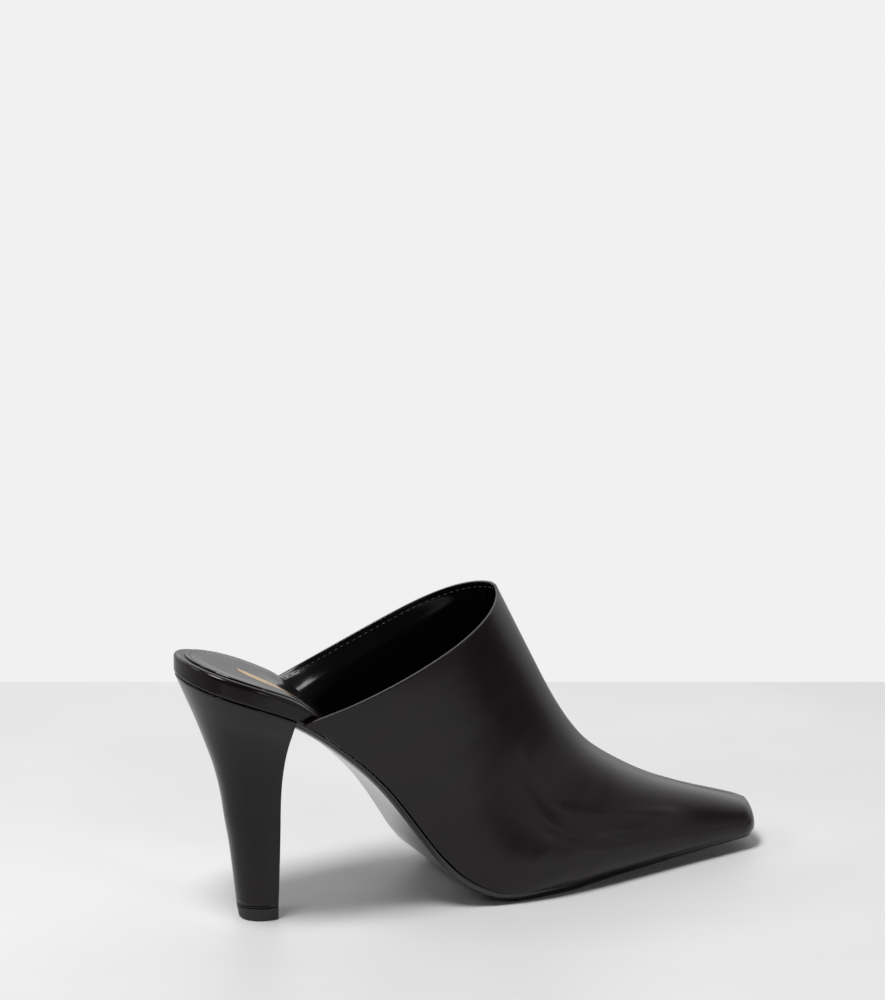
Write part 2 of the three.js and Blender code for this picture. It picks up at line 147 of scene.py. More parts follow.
@dataclass(frozen=True)
class Last:
    """The foot line that every piece follows; millimetres, x counted from the rear of the seat."""

    length: float = 237.8
    gap: float = 0.3
    wall: float = 1.8
    upper_room: float = 0.5
    sole_depth: float = 3.4
    seat_half: float = 26.0
    seat_round: float = 28.0
    seat_power: float = 2.15
    toe_round: float = 8.0
    toe_power: float = 2.5
    end_flat: float = 1.0
    slope_reach: float = 2.75
    centre_x: float = 118.9
    centre_y: float = 3.387
    foot: Table = Table(
        ("x", "rise", "lateral", "medial", "board"),
        (
            (0, 94.9, 26.0, 26.0, 7.5),
            (6, 92.7, 26.0, 26.0, 7.5),
            (16, 89.1, 26.0, 26.0, 7.5),
            (26, 85.1, 26.0, 26.0, 7.5),
            (35, 80.9, 26.0, 26.0, 7.4),
            (43, 75.9, 25.7, 25.0, 7.0),
            (51, 69.9, 25.0, 22.8, 6.1),
            (59, 63.1, 24.2, 20.6, 5.0),
            (67, 55.7, 23.4, 19.2, 4.0),
            (75, 47.1, 22.7, 18.9, 3.2),
            (82, 37.9, 22.6, 19.9, 2.8),
            (89, 27.7, 23.2, 22.0, 2.6),
            (96, 17.9, 24.6, 25.2, 2.4),
            (104, 9.3, 26.4, 29.2, 2.4),
            (112, 4.1, 28.0, 32.6, 2.4),
            (119, 1.3, 28.9, 34.7, 2.4),
            (127, 0.0, 29.1, 36.0, 2.4),
            (146, 0.0, 27.3, 34.8, 2.4),
            (166, 1.2, 23.9, 29.2, 2.4),
            (182, 2.1, 20.9, 24.2, 2.4),
            (198, 2.9, 18.0, 19.6, 2.4),
            (215, 3.6, 15.1, 15.4, 2.4),
            (227, 4.0, 13.1, 13.0, 2.4),
            (238, 4.4, 11.6, 11.4, 2.4),
        ),
    )

    def curve(self, name: str) -> Callable[[float], float]:
        """Curve of one column of the foot table."""
        return self.foot.column(name)

    def level(self, x: float) -> float:
        """Height of the board's lower face, which is also the foot of the upper."""
        return RISE(x) + self.sole_depth + self.gap

    def fit_drop(self, x: float) -> float:
        """Upright clearance that leaves the fit gap square to the sloping foot line.

        Args:
            x: Distance from the rear of the seat.

        Returns:
            The clearance in millimetres.
        """
        reach = self.slope_reach
        slope = (self.level(x + reach) - self.level(x - reach)) / (2 * reach)
        return self.gap * math.hypot(1.0, slope)

    def edge(self, x: float, side: Side, grow: float, toe: float) -> float:
        """Signed y of the foot outline.

        Args:
            x: Distance from the rear of the seat.
            side: Side of the foot.
            grow: How far the outline is moved outwards.
            toe: Where the outline ends.

        Returns:
            The y of the outline on that side.
        """
        seat = super_round((self.seat_round - x) / (self.seat_round + grow), self.seat_power)
        toe_round = max(self.toe_round + grow, self.end_flat)
        front = super_round((x - toe + toe_round) / toe_round, self.toe_power)
        return side.value * (HALF[side](x) + grow) * seat * front

    def place(self, x: float, y: float, z: float) -> Vector:
        """Point of the frame, in metres, from millimetres on the last."""
        return Vector(((x - self.centre_x) * MM, (y - self.centre_y) * MM, z * MM))

    def x_of(self, place: Vector) -> float:
        """Distance from the rear of the seat, in millimetres, of a point of the frame."""
        return place.x / MM + self.centre_x


LAST = Last()
RISE = LAST.curve("rise")
HALF = {Side.LATERAL: LAST.curve("lateral"), Side.MEDIAL: LAST.curve("medial")}


def arc_stations(start: float, end: float, rear: float, front: float, step: float) -> list[float]:
    """Stations along the last, drawn together towards rounded ends.

    Args:
        start: First station.
        end: Last station.
        rear: Reach of the rounding at the start, 0 for a straight cut.
        front: Reach of the rounding at the end, 0 for a straight cut.
        step: Widest distance between stations.

    Returns:
        The stations from start to end.
    """
    out: list[float] = []
    if rear > 0:
        count = max(int(rear * math.pi / 2 / step), 4)
        out += [start + rear * (1 - math.cos(i / count * math.pi / 2)) for i in range(count)]
    middle = end - front - start - rear
    count = max(int(math.ceil(middle / step)), 1)
    out += [start + rear + middle * i / count for i in range(count + 1)]
    if front > 0:
        count = max(int(front * math.pi / 2 / step) * 2, 8)
        out += [end - front * (1 - math.sin(i / count * math.pi / 2)) for i in range(1, count + 1)]
    return out


# Meshes


def mapped_grid(rows: int, columns: int, point: Callable[[int, int], Vector]) -> bmesh.types.BMesh:
    """A created grid whose vertices are moved onto a surface.

    Args:
        rows: Number of gaps between rows.
        columns: Number of gaps between columns.
        point: Place of the vertex at a row and a column.

    Returns:
        The new mesh.
    """
    bm = bmesh.new()
    bmesh.ops.create_grid(bm, x_segments=columns, y_segments=rows, size=1.0)
    for v in bm.verts:
        column = round((v.co.x + 1) / 2 * columns)
        row = round((v.co.y + 1) / 2 * rows)
        v.co = point(row, column)
    return bm


def finish_mesh(bm: bmesh.types.BMesh, name: str, weld: float = 1e-6) -> bpy.types.Object:
    """Welds a mesh, turns its faces outwards and links it as a smooth object.

    Args:
        bm: The mesh, which is freed.
        name: Name of the new object.
        weld: Distance under which vertices are joined, in metres.

    Returns:
        The new object, at the origin.
    """
    bmesh.ops.remove_doubles(bm, verts=bm.verts, dist=weld)
    bmesh.ops.dissolve_degenerate(bm, edges=bm.edges, dist=weld)
    bmesh.ops.recalc_face_normals(bm, faces=bm.faces)
    for face in bm.faces:
        face.smooth = True
    mesh = bpy.data.meshes.new(name)
    bm.to_mesh(mesh)
    bm.free()
    obj = bpy.data.objects.new(name, mesh)
    bpy.context.scene.collection.objects.link(obj)
    return obj


def bevel(
    bm: bmesh.types.BMesh, edges: Sequence[bmesh.types.BMEdge], offset: float, segments: int,
) -> None:
    """Rounds edges of a mesh.

    Args:
        bm: The mesh.
        edges: Edges to round.
        offset: Width of the rounding, in metres.
        segments: Number of faces across the rounding.
    """
    bmesh.ops.bevel(
        bm, geom=list(edges), offset=offset, offset_type="OFFSET", segments=segments,
        profile=0.5, affect="EDGES", material=-1, clamp_overlap=True,
    )


def sharp_edges(bm: bmesh.types.BMesh, degrees: float) -> list[bmesh.types.BMEdge]:
    """Edges between two faces that turn by more than an angle."""
    limit = math.radians(degrees)
    return [e for e in bm.edges if len(e.link_faces) == 2 and e.calc_face_angle(0.0) > limit]


@dataclass(frozen=True)
class Stitch:
    """Pitch, length and half thickness of the stitches of a row, in millimetres."""

    pitch: float
    length: float
    thick: float


def sew(
    name: str, path: Sequence[Vector], normals: Sequence[Vector], stitch: Stitch,
) -> bpy.types.Object:
    """A row of stitches along a path.

    Args:
        name: Name of the new object.
        path: Points on the surface, in metres.
        normals: Direction out of the surface at each point.
        stitch: Sizes of the stitches.

    Returns:
        The stitches as one object.
    """
    run = [0.0]
    for a, b in zip(path, path[1:]):
        run.append(run[-1] + (b - a).length)
    bm = bmesh.new()
    thick = stitch.thick * MM
    for number in range(int(run[-1] / (stitch.pitch * MM))):
        goal = (number + 0.5) * stitch.pitch * MM
        k = gap_at(run, goal)
        t = (goal - run[k]) / max(run[k + 1] - run[k], 1e-9)
        along = (path[k + 1] - path[k]).normalized()
        out = normals[k].lerp(normals[k + 1], t)
        out = (out - along * out.dot(along)).normalized()
        turn = Matrix((along, out.cross(along), out)).transposed().to_4x4()
        size = Matrix.Diagonal((stitch.length / 2 * MM, thick, thick, 1.0))
        where = Matrix.Translation(path[k].lerp(path[k + 1], t))
        bmesh.ops.create_uvsphere(
            bm, u_segments=8, v_segments=6, radius=1.0, matrix=where @ turn @ size
        )
    return finish_mesh(bm, name, 1e-8)


# Shader nodes


class Socket:
    """A value in a node tree that takes part in sums like a number."""

    def __init__(self, tree: "Tree", source: "bpy.types.NodeSocket | float") -> None:
        """Wraps an output socket or a number."""
        self.tree = tree
        self.source = source

    def _math(self, kind: str, *others: "Socket | float", first: bool = True) -> "Socket":
        """One Math node of this value and others; first False puts this value last."""
        values: list[Socket | float] = [self, *others] if first else [*others, self]
        node = self.tree.add("ShaderNodeMath", {"operation": kind}, dict(enumerate(values)))
        return node("Value")

    def __add__(self, other: "Socket | float") -> "Socket":
        """Sum."""
        return self._math("ADD", other)

    __radd__ = __add__

    def __sub__(self, other: "Socket | float") -> "Socket":
        """Difference."""
        return self._math("SUBTRACT", other)

    def __rsub__(self, other: "Socket | float") -> "Socket":
        """Difference with this value taken away."""
        return self._math("SUBTRACT", other, first=False)

    def __mul__(self, other: "Socket | float") -> "Socket":
        """Product."""
        return self._math("MULTIPLY", other)

    __rmul__ = __mul__

    def __truediv__(self, other: "Socket | float") -> "Socket":
        """Quotient."""
        return self._math("DIVIDE", other)

    def __rtruediv__(self, other: "Socket | float") -> "Socket":
        """Quotient with this value below the line."""
        return self._math("DIVIDE", other, first=False)

    def ramp(self, low: float, high: float) -> "Socket":
        """Smooth step from 0 at low to 1 at high."""
        node = self.tree.add(
            "ShaderNodeMapRange", {"interpolation_type": "SMOOTHSTEP"},
            {"Value": self, "From Min": low, "From Max": high},
        )
        return node("Result")


class Node:
    """A placed node, called with the name of an output to get its socket."""

    def __init__(self, tree: "Tree", node: bpy.types.Node) -> None:
        """Wraps a node of a tree."""
        self.tree = tree
        self.node = node

    def __call__(self, name: str) -> Socket:
        """The named output."""
        output = next(s for s in self.node.outputs if s.name == name and s.enabled)
        return Socket(self.tree, output)


class Tree:
    """Node tree of a material or of the surround, filled by add."""

    def __init__(self, owner: "bpy.types.Material | bpy.types.World") -> None:
        """Empties the tree of its owner."""
        owner.use_nodes = True
        self.owner = owner
        self.nodes = owner.node_tree.nodes
        self.nodes.clear()

    @classmethod
    def material(cls, name: str) -> "Tree":
        """Tree of a new material."""
        return cls(bpy.data.materials.new(name))

    def add(
        self, kind: str, settings: dict[str, object] | None = None,
        inputs: dict[str | int, object] | None = None,
    ) -> Node:
        """Places a node.

        Args:
            kind: Type of the node.
            settings: Properties, set before the inputs.
            inputs: Values or sockets by the name or number of the input.

        Returns:
            The placed node.
        """
        node = self.nodes.new(kind)
        for key, value in (settings or {}).items():
            setattr(node, key, value)
        for key, value in (inputs or {}).items():
            if isinstance(key, int):
                target = node.inputs[key]
            else:
                target = next(s for s in node.inputs if s.name == key and s.enabled)
            if isinstance(value, Socket):
                value = value.source
            if isinstance(value, bpy.types.NodeSocket):
                self.owner.node_tree.links.new(value, target)
            else:
                target.default_value = value
        return Node(self, node)

    def noise(self, where: Socket, scale: float, detail: float = 2.0, rough: float = 0.5) -> Socket:
        """Noise about 0.5 at a scale in cycles per metre."""
        node = self.add(
            "ShaderNodeTexNoise", {},
            {"Vector": where, "Scale": scale, "Detail": detail, "Roughness": rough},
        )
        return node("Fac")

    def blend(self, share: Socket, low: Point, high: Point) -> Socket:
        """Colour between low and high by share."""
        ends = {"Factor": share, "A": (*low, 1.0), "B": (*high, 1.0)}
        return self.add("ShaderNodeMix", {"data_type": "RGBA"}, ends)("Result")

    def bump(self, height: Socket) -> Socket:
        """Normal of a surface with a height in metres."""
        relief = {"Strength": 1.0, "Distance": 1.0, "Height": height}
        return self.add("ShaderNodeBump", {}, relief)("Normal")

    def shaded(self, inputs: dict[str, object]) -> bpy.types.Material:
        """Gives the material a Principled shader.

        Args:
            inputs: Values or sockets by the name of the shader's input.

        Returns:
            The material.
        """
        shader = self.add("ShaderNodeBsdfPrincipled", {}, inputs)("BSDF")
        self.add("ShaderNodeOutputMaterial", {}, {"Surface": shader})
        return self.owner

    def object_place(self) -> Socket:
        """Place on the piece in metres."""
        return self.add("ShaderNodeTexCoord")("Object")


@dataclass(frozen=True)
class Wrinkles:
    """A patch of fine upright wrinkles: centre and reach in metres, lean, spacing and depth.

    A wrinkle is stretch times as tall as the spacing. The patch fades out from fade_from, which
    is a squared share of its reach.
    """

    centre: Point
    reach: Point
    lean: float
    spacing: float
    depth: float
    stretch: float = 5.0
    fade_from: float = 0.25

    def height(self, tree: "Tree", place: Socket) -> Socket:
        """Height of the wrinkles over the patch.

        Args:
            tree: The leather's node tree.
            place: Place on the piece.

        Returns:
            The height in metres.
        """
        ends = {0: place, 1: self.centre}
        off = tree.add("ShaderNodeVectorMath", {"operation": "SUBTRACT"}, ends)("Vector")
        parts = tree.add("ShaderNodeSeparateXYZ", {}, {0: off})
        along, across, up = parts("X"), parts("Y"), parts("Z")
        level = up + along * self.lean
        shares = [part / reach for part, reach in zip((along, across, level), self.reach)]
        far = sum((part * part for part in shares[1:]), shares[0] * shares[0])
        cycles = {"X": along / self.spacing, "Z": level / (self.spacing * self.stretch)}
        wave = tree.noise(tree.add("ShaderNodeCombineXYZ", {}, cycles)("Vector"), 1.0, 1.5)
        return wave * (1 - far.ramp(self.fade_from, 1.0)) * self.depth


# Where a mottled colour turns from its dark shade to its light one.
MOTTLE = (0.3, 0.7)


@dataclass(frozen=True)
class Leather:
    """Smooth dyed leather: two shades, gloss, pores and clouds, sizes in metres."""

    name: str
    dark: Point
    light: Point
    rough: float
    rough_spread: float
    pore_size: float
    pore_depth: float
    cloud_size: float
    cloud_depth: float
    coat: float = 0.0
    coat_rough: float = 0.1
    specular: float = 0.5
    cloud_share: float = 0.7
    fine_share: float = 0.3
    fine_rough: float = 0.6
    fine_height: float = 0.35
    pore_rim: tuple[float, float] = (0.1, 0.75)
    wrinkles: Wrinkles | None = None

    def material(self) -> bpy.types.Material:
        """Builds the material."""
        tree = Tree.material(self.name)
        place = tree.object_place()
        pores = tree.add(
            "ShaderNodeTexVoronoi", {"feature": "F1", "distance": "EUCLIDEAN"},
            {"Vector": place, "Scale": 1 / self.pore_size, "Randomness": 1.0},
        )("Distance")
        cloud = tree.noise(place, 1 / self.cloud_size, 3.0)
        fine = tree.noise(place, 3 / self.pore_size, 2.0, 0.6)
        shade = (cloud * self.cloud_share + fine * self.fine_share).ramp(*MOTTLE)
        uneven = (cloud - 0.5) * self.rough_spread
        uneven = uneven + (fine - 0.5) * (self.rough_spread * self.fine_rough)
        height = (pores.ramp(*self.pore_rim) + fine * self.fine_height) * self.pore_depth
        height = height + cloud * self.cloud_depth
        if self.wrinkles:
            height = height + self.wrinkles.height(tree, place)
        return tree.shaded({
            "Base Color": tree.blend(shade, self.dark, self.light),
            "Roughness": uneven + self.rough,
            "Specular IOR Level": self.specular,
            "Coat Weight": self.coat,
            "Coat Roughness": self.coat_rough,
            "Normal": tree.bump(height),
        })


@dataclass(frozen=True)
class Plain:
    """Moulded, metal or thread finish: colour, gloss and a fine uneven surface."""

    name: str
    dark: Point
    light: Point
    rough: float
    metal: float = 0.0
    grain: float = 0.0006
    depth: float = 0.00001
    rough_spread: float = 0.15

    def material(self) -> bpy.types.Material:
        """Builds the material."""
        tree = Tree.material(self.name)
        grain = tree.noise(tree.object_place(), 1 / self.grain, 3.0, 0.6)
        return tree.shaded({
            "Base Color": tree.blend(grain.ramp(*MOTTLE), self.dark, self.light),
            "Roughness": (grain - 0.5) * self.rough_spread + self.rough,
            "Metallic": self.metal,
            "Normal": tree.bump(grain * self.depth),
        })


class Finish(Enum):
    """The finishes of the shoe."""

    UPPER = Leather(
        "polished_calf", (0.0046, 0.0018, 0.0028), (0.0088, 0.0036, 0.0052),
        rough=0.24, rough_spread=0.10, pore_size=0.0005, pore_depth=0.000004,
        cloud_size=0.012, cloud_depth=0.00008, specular=0.34,
        wrinkles=Wrinkles((0.0416, -0.0310, 0.0275), (0.029, 0.012, 0.0046), 0.38, 0.0019, 0.00013),
    )
    LINING = Leather(
        "black_lining", (0.0012, 0.0012, 0.0018), (0.0024, 0.0024, 0.0034),
        rough=0.11, rough_spread=0.03, pore_size=0.0004, pore_depth=0.000001,
        cloud_size=0.014, cloud_depth=0.00001, specular=0.45,
    )
    SOCK = Leather(
        "glazed_sock", (0.0040, 0.0038, 0.0050), (0.0080, 0.0078, 0.0098),
        rough=0.13, rough_spread=0.05, pore_size=0.0004, pore_depth=0.000002,
        cloud_size=0.016, cloud_depth=0.00010,
    )
    SOLE = Leather(
        "lacquered_sole", (0.0040, 0.0040, 0.0048), (0.0075, 0.0075, 0.0088),
        rough=0.18, rough_spread=0.06, pore_size=0.0004, pore_depth=0.000002,
        cloud_size=0.012, cloud_depth=0.00002, coat=0.3,
    )
    HEEL = Leather(
        "heel_cover", (0.0050, 0.0024, 0.0030), (0.0080, 0.0044, 0.0052),
        rough=0.17, rough_spread=0.05, pore_size=0.0005, pore_depth=0.000003,
        cloud_size=0.014, cloud_depth=0.00003, specular=0.31,
    )
    TIP = Plain("tip_rubber", (0.012, 0.013, 0.014), (0.015, 0.016, 0.017), 0.6)
    FOIL = Plain(
        "gold_foil", (0.72, 0.47, 0.20), (0.92, 0.66, 0.32), 0.24, metal=1.0, depth=0.000004,
    )
    THREAD = Plain("black_thread", (0.006, 0.006, 0.008), (0.018, 0.018, 0.022), 0.5, grain=0.0003)


MATERIALS: dict[Finish, bpy.types.Material] = {finish: finish.value.material() for finish in Finish}


def dress(
    obj: bpy.types.Object, slot: str, finishes: Sequence[Finish], *nodes: str,
) -> bpy.types.Object:
    """Gives a piece its finishes and its place in the frame.

    Args:
        obj: The piece.
        slot: Name of a material slot; not used.
        finishes: Finishes in the order of the piece's material numbers.
        nodes: CAD nodes that the piece stands for.

    Returns:
        The piece.
    """
    for finish in finishes:
        obj.data.materials.append(MATERIALS[finish])
    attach(obj, "root")
    if nodes:
        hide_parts(*nodes)
    LOG.info("%s: %d faces", obj.name, len(obj.data.polygons))
    return obj


# Upper


@dataclass(frozen=True)
class Fold:
    """A soft fold in the shell, raised or sunk, in millimetres on the last.

    It fades in and out over fade at its ends, and isn't felt further than reach past them.
    """

    points: tuple[Point, ...]
    half: float
    height: float
    fade: float = 16.0
    reach: float = 9.0

    def lift(self, place: Vector) -> float:
        """How far the fold lifts the shell at a place, in millimetres.

        Args:
            place: Point on the shell, in metres.

        Returns:
            The lift, below 0 where the fold is sunk.
        """
        rear, front = self.points[0][0] - self.reach, self.points[-1][0] + self.reach
        if not rear < LAST.x_of(place) < front:
            return 0.0
        spots = [LAST.place(*p) for p in self.points]
        near, along, total = math.inf, 0.0, 0.0
        for a, b in zip(spots, spots[1:]):
            run = (b - a).length
            share = clamp01((place - a).dot(b - a) / run**2)
            off = (place - a.lerp(b, share)).length
            if off < near:
                near, along = off, total + share * run
            total += run
        fade = smooth(along / MM / self.fade) * smooth((total - along) / MM / self.fade)
        return self.height * math.exp(-((near / MM / self.half) ** 2)) * fade


# What a bulge t (1 - t)^2 and a sag t (1 - t) are multiplied by to peak at 1.
BULGE_PEAK = 27 / 4
SAG_PEAK = 4


@dataclass
class Upper:
    """Leather shell, its topline, centre seam and lining stitches."""

    rows: int = 190
    toe_rows: int = 34
    columns: int = 84
    samples: int = 260
    crowd: float = 1.25
    seam_depth: float = 0.35
    seam_half: float = 0.55
    seam_reach: float = 2.5
    seam_upward: float = 0.05
    seam_end: float = 1.5
    seam_fade: float = 5.0
    rim_round: float = 0.42
    rim_wall: float = 1.0
    rim_steps: int = 4
    tuck: Table = Table(
        ("x", "drop"), ((120, 0.0), (140, 0.2), (160, 0.9), (180, 1.25), (238, 1.3)),
    )
    skive: float = 9.0
    stitch: Stitch = Stitch(2.6, 1.9, 0.22)
    stitch_room: float = 2.2
    stitch_sink: float = 0.2
    grow: float = LAST.upper_room + LAST.wall
    ridge: Table = Table(
        ("x", "z"),
        (
            (129.2, 118.0), (133.6, 109.2), (139.0, 98.4), (144.4, 87.6), (149.7, 77.0),
            (155.1, 67.2), (160.7, 58.6), (167.0, 51.0), (175.0, 44.4), (187.0, 36.6),
            (197.0, 31.2), (207.0, 26.9), (217.0, 23.1), (227.0, 19.6), (236.7, 16.0),
        ),
    )
    shape: Table = Table(
        ("foot", "lead", "ridge", "rise", "round", "bulge", "sag"),
        (
            (37.6, 5.0, 129.2, 6.0, 1.6, 2.4, 2.7),
            (50.0, 3.2, 134.5, 5.0, 1.65, 2.6, 2.2),
            (64.0, 1.6, 141.0, 4.1, 1.7, 2.8, 1.4),
            (82.0, 0.4, 150.5, 3.2, 1.8, 3.0, 0.6),
            (102.0, 0.0, 162.5, 2.6, 1.9, 3.0, 0.0),
            (128.0, 0.0, 176.5, 2.3, 1.95, 2.8, 0.0),
            (158.0, 0.0, 192.5, 2.2, 2.0, 2.3, 0.0),
            (188.0, 0.0, 209.0, 2.25, 2.05, 1.8, 0.0),
            (213.0, 0.0, 222.5, 2.5, 2.2, 1.4, 0.0),
            (230.0, 0.0, 232.2, 2.9, 2.3, 1.0, 0.0),
            (238.0, 0.0, 236.5, 3.2, 2.4, 0.6, 0.0),
        ),
    )
    folds: tuple[Fold, ...] = (
        Fold(
            (
                (130.5, -21.6, 61.0), (131.0, -23.8, 53.0), (133.4, -25.0, 46.0),
                (138.0, -26.6, 38.2), (143.9, -27.4, 33.5), (152.0, -27.2, 30.6),
                (161.3, -26.3, 28.5), (180.3, -22.3, 24.3), (206.0, -17.2, 19.4),
            ),
            2.8, 0.55,
        ),
        Fold(
            (
                (128.0, -28.0, 40.0), (133.0, -28.2, 35.4), (138.5, -29.8, 29.1),
                (146.5, -30.8, 24.2), (159.6, -30.0, 19.9), (173.9, -26.9, 18.7),
                (192.0, -22.0, 18.8),
            ),
            2.6, -0.50,
        ),
    )
    curves: dict[str, Callable[[float], float]] = field(default_factory=dict)

    def __post_init__(self) -> None:
        """Prepares the curves of the tables."""
        for name in self.shape.names[1:]:
            self.curves[name] = self.shape.column(name, "foot")
        self.curves["tuck"] = self.tuck.column("drop")
        self.curves["height"] = self.ridge.column("z")

    def half_row(self, foot: float, side: Side) -> list[Point]:
        """Half of one row, from the foot line up to the ridge, evenly spaced along it.

        Args:
            foot: Where the row leaves the foot line.
            side: Side of the shoe.

        Returns:
            Points in millimetres on the last.
        """
        c = self.curves
        start = foot + c["lead"](foot) if side is Side.MEDIAL else foot
        edge = LAST.edge(start, side, self.grow, LAST.length)
        fill = abs(edge) / (HALF[side](start) + self.grow)
        top_x = c["ridge"](foot)
        top_z, base_z = c["height"](top_x), LAST.level(start) - c["tuck"](start)
        rise, rounding = c["rise"](foot), c["round"](foot)
        bulge, sag = c["bulge"](foot) * fill * BULGE_PEAK, c["sag"](foot) * SAG_PEAK
        points = []
        for i in range(self.samples + 1):
            angle = math.pi / 2 * i / self.samples
            climb = math.sin(angle) ** (2 / rise)
            width = max(math.cos(angle), 0.0) ** (2 / rounding)
            swell = bulge * climb * (1 - climb) ** 2
            points.append((
                mix(start, top_x, climb),
                edge * width + side.value * swell,
                mix(base_z, top_z, climb) - sag * climb * (1 - climb),
            ))
        return self.evenly(points)

    def evenly(self, points: list[Point]) -> list[Point]:
        """Evenly spaced points along a run, drawn together towards the ridge.

        Args:
            points: The run, from the foot line up to the ridge.

        Returns:
            One point for each column and one more.
        """
        run = [0.0]
        for a, b in zip(points, points[1:]):
            run.append(run[-1] + math.dist(a, b))
        out = []
        for i in range(self.columns + 1):
            share = i / self.columns
            goal = run[-1] * (1 - (1 - share) ** self.crowd)
            k = gap_at(run, goal)
            t = clamp01((goal - run[k]) / max(run[k + 1] - run[k], 1e-9))
            out.append(tuple(mix(p, q, t) for p, q in zip(points[k], points[k + 1])))
        return out

    def feet(self) -> list[float]:
        """Where the rows leave the foot line, from the toe back to the wing.

        Returns:
            The stations, drawn together round the toe.
        """
        start, toe, reach = self.shape.rows[0][0], LAST.length, LAST.toe_round
        arc, straight = self.toe_rows, self.rows - self.toe_rows
        front = [toe - reach * (1 - math.cos(i / arc * math.pi / 2)) for i in range(arc)]
        return front + [mix(toe - reach, start, i / straight) for i in range(straight + 1)]

    def build(self) -> bpy.types.Object:
        """Builds the shell with its lining side and rounded rims, and the stitches.

        Returns:
            The shell.
        """
        feet = self.feet()
        table = []
        for foot in feet:
            lateral = self.half_row(foot, Side.LATERAL)
            medial = self.half_row(foot, Side.MEDIAL)[::-1]
            table.append([LAST.place(*p) for p in lateral + medial[1:]])
        bm = mapped_grid(len(feet) - 1, 2 * self.columns, lambda i, j: table[i][j])
        bmesh.ops.remove_doubles(bm, verts=bm.verts, dist=1e-6)
        bmesh.ops.recalc_face_normals(bm, faces=bm.faces)
        if sum(f.normal.z for f in bm.faces) < 0:
            bmesh.ops.reverse_faces(bm, faces=bm.faces)
        self.crease(bm)
        self.groove(bm)
        rims = self.line(bm, table[-1])
        bmesh.ops.recalc_face_normals(bm, faces=bm.faces)
        bevel(bm, rims, self.rim_round * MM, self.rim_steps)
        obj = finish_mesh(bm, "upper_shell")
        self.stitches(table)
        return dress(obj, "upper_leather", (Finish.UPPER, Finish.LINING), "upper")

    def crease(self, bm: bmesh.types.BMesh) -> None:
        """Presses the folds into the shell before it has a wall."""
        bm.normal_update()
        for v in bm.verts:
            v.co = v.co + v.normal * sum(fold.lift(v.co) for fold in self.folds) * MM

    def groove(self, bm: bmesh.types.BMesh) -> None:
        """Sinks the centre seam into the shell before it has a wall.

        Args:
            bm: The shell without a wall, faces outwards.
        """
        bm.normal_update()
        end = self.ridge.rows[-1][0] - self.seam_end
        for v in bm.verts:
            off = abs(v.co.y + LAST.centre_y * MM) / MM
            if off < self.seam_half * self.seam_reach and v.normal.z > self.seam_upward:
                fade = smooth((end - LAST.x_of(v.co)) / self.seam_fade)
                depth = self.seam_depth * math.exp(-((off / self.seam_half) ** 2)) * fade
                v.co = v.co - v.normal * depth * MM

    def line(self, bm: bmesh.types.BMesh, topline: list[Vector]) -> list[bmesh.types.BMEdge]:
        """Extrudes the shell inwards into its lining side, thinner along the topline.

        Args:
            bm: The shell without a wall, faces outwards.
            topline: Points of the topline.

        Returns:
            The edges round the rims.
        """
        bm.normal_update()
        tree = KDTree(len(topline))
        for i, p in enumerate(topline):
            tree.insert(p, i)
        tree.balance()
        inward = {tuple(v.co): v.normal.copy() for v in bm.verts}
        outer = list(bm.faces)
        made = bmesh.ops.extrude_face_region(bm, geom=outer, use_keep_orig=True)
        walls = {*outer, *(g for g in made["geom"] if isinstance(g, bmesh.types.BMFace))}
        for g in made["geom"]:
            if isinstance(g, bmesh.types.BMFace):
                g.material_index = 1
            elif isinstance(g, bmesh.types.BMVert):
                near = tree.find(g.co)[2] / MM
                wall = mix(self.rim_wall, LAST.wall, smooth(near / self.skive))
                g.co = g.co - inward[tuple(g.co)] * wall * MM
        rim = {f for f in bm.faces if f not in walls}
        return [e for e in bm.edges if any(f in rim for f in e.link_faces)
                and any(f in walls for f in e.link_faces)]

    def stitches(self, table: list[list[Vector]]) -> bpy.types.Object:
        """Lining stitches inside the topline.

        Args:
            table: Points of the shell by row and column.

        Returns:
            The stitches as one piece.
        """
        path, normals = [], []
        last = len(table) - 1
        for j in range(2, 2 * self.columns - 1):
            i = last
            while i > 1 and (table[last][j] - table[i - 1][j]).length < self.stitch_room * MM:
                i -= 1
            a, b = (table[last][j] - table[i][j]).length, (table[last][j] - table[i - 1][j]).length
            t = clamp01((self.stitch_room * MM - a) / max(b - a, 1e-9))
            here = table[i][j].lerp(table[i - 1][j], t)
            across = table[i][j + 1] - table[i][j - 1]
            normal = across.cross(table[i - 1][j] - table[last][j]).normalized()
            if normal.z * 0.2 + normal.x * 0.1 + (here.y + LAST.centre_y * MM) * normal.y * 40 < 0:
                normal.negate()
            path.append(here - normal * (self.rim_wall + self.stitch_sink) * MM)
            normals.append(normal)
        obj = sew("topline_stitches", path, normals, self.stitch)
        return dress(obj, "upper_leather", (Finish.THREAD,))


# Slabs under the foot


@dataclass(frozen=True)
class Layer:
    """One ring of a slab: how far it lies inside the outline, and its height, both by place."""

    inset: Callable[[float], float]
    height: Callable[[float, float], float]


def quarter(radius: float, steps: int) -> list[tuple[float, float]]:
    """Rounding from a flat face down to a side, as pairs of inset and drop."""
    angles = [math.pi / 2 * i / steps for i in range(steps + 1)]
    return [(radius * (1 - math.sin(a)), radius * (1 - math.cos(a))) for a in angles]


